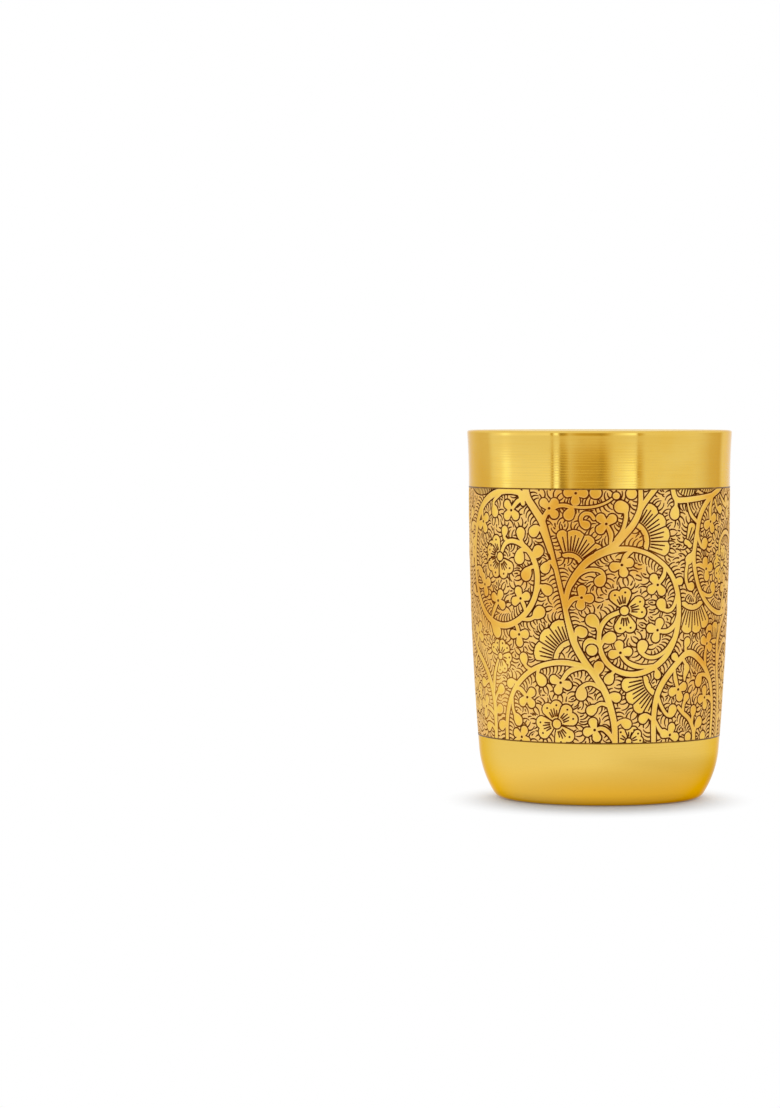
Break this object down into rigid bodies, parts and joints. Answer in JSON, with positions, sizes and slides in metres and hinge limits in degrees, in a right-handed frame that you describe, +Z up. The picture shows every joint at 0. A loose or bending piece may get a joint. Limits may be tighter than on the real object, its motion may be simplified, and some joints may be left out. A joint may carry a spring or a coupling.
{
  "type": "brass tumbler",
  "caption": "Straight-sided brass drinking tumbler with a polished lip, a rounded polished foot and an etched floral band let into its wall between two dark border lines.",
  "frame": {"origin": "centre of the ring that the tumbler stands on, on the table", "axes": "+Z up along the tumbler's axis; +Y points to the back, where the sleeve's seam is; -Y is the pictured front"},
  "size_m": [0.075, 0.075, 0.104],
  "materials": {
    "polished_brass": "spun and polished, faint turning lines",
    "etched_brass": "polished raised ornament, dark in the etched lines",
    "hard_solder": "brass hard solder, filed flush",
    "dark_lac": "dark brown lac rubbed into the lines"
  },
  "bodies": {
    "root": {"cup_body": "polished_brass", "engraved_sleeve": "etched_brass", "sleeve_seam": "hard_solder", "solder_film": "hard_solder", "upper_border_line": "dark_lac", "lower_border_line": "dark_lac"}
  },
  "joints": []
}
